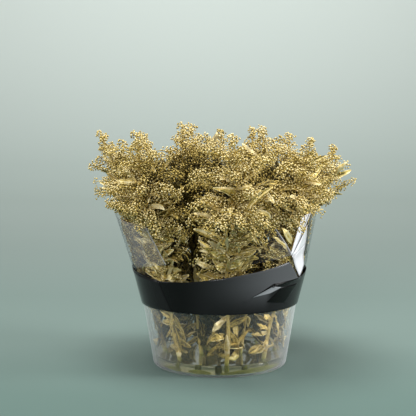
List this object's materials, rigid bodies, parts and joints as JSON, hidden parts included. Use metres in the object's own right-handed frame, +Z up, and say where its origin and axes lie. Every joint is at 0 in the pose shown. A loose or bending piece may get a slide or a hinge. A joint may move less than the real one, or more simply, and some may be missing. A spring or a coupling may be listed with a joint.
{
  "type": "dried goldenrod bunch",
  "caption": "Bunch of dried goldenrod sprayed gold, standing in a little water in a clear tapered tub, wrapped in a flared clear film sleeve with a black band.",
  "frame": {"origin": "on the floor, at the middle of the tub's flat underside", "axes": "+Z up along the tub's axis; -Y towards the front, where the camera of the picture stands; +X to the right"},
  "size_m": [0.4121, 0.4325, 0.3862],
  "materials": {
    "clear_plastic": "gloss",
    "water": "gloss",
    "clear_film": "gloss",
    "black_film": "gloss",
    "gold_plant": "satin",
    "green_leaf": "satin"
  },
  "bodies": {
    "root": {"tub": "clear_plastic", "water": "water", "film_sleeve": "clear_film", "black_band": "black_film", "goldenrod_01": "gold_plant", "goldenrod_02": "gold_plant", "goldenrod_03": "gold_plant", "goldenrod_04": "gold_plant", "goldenrod_05": "gold_plant", "goldenrod_06": "gold_plant", "goldenrod_07": "gold_plant", "goldenrod_08": "gold_plant", "goldenrod_09": "gold_plant", "goldenrod_10": "gold_plant", "goldenrod_11": "gold_plant", "goldenrod_12": "gold_plant", "fallen_leaf_green": "green_leaf", "fallen_leaf_left": "gold_plant", "fallen_leaf_middle": "gold_plant"}
  },
  "joints": []
}
